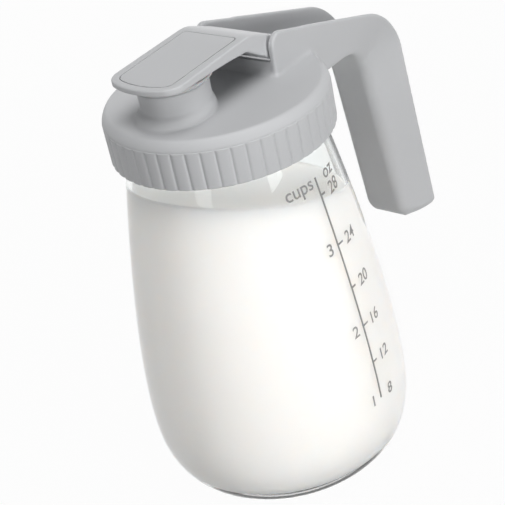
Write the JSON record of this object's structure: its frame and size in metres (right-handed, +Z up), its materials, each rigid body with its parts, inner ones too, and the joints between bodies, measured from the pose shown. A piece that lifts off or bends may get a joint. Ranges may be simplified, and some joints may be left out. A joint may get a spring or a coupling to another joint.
{
  "type": "breast milk storage container",
  "caption": "Handled storage pitcher: bellied glass jar, ribbed screw lid with a pouring spout, channel-section handle, and a hinged flip cap that seals the spout.",
  "frame": {"origin": "centre of the jar's standing face", "axes": "+Z up, spout towards -Y, handle towards +Y, printed scale on the +X side"},
  "size_m": [0.1058, 0.1566, 0.1815],
  "materials": {
    "jar_glass": "clear smooth glass",
    "silicone": "soft translucent grey silicone",
    "lid_plastic": "satin light grey moulding",
    "cap_plastic": "satin light grey moulding",
    "inlay_plastic": "satin light grey plate"
  },
  "bodies": {
    "jar": {"jar": "jar_glass"},
    "gasket": {"lid_gasket": "silicone"},
    "lid": {"lid": "lid_plastic"},
    "cap": {"flip_cap": "cap_plastic", "cap_inlay": "inlay_plastic", "spout_plug": "silicone"}
  },
  "joints": [
    {"name": "lid_lift", "type": "slide", "parent": "jar", "child": "gasket", "axis": [0, 0, 1], "range_m": [0, 0.0061]},
    {"name": "lid_turn", "type": "hinge", "parent": "gasket", "child": "lid", "pos_m": [0, 0, 0.1514], "axis": [0, 0, 1], "range_deg": [0, 540]},
    {"name": "cap_hinge", "type": "hinge", "parent": "lid", "child": "cap", "pos_m": [0, 0.0182, 0.1722], "axis": [-1, 0, 0], "range_deg": [0, 120]}
  ],
  "couplings": [
    {"joint": "lid_lift", "follows": "lid_turn", "m_per_rad": 0.00063662}
  ]
}
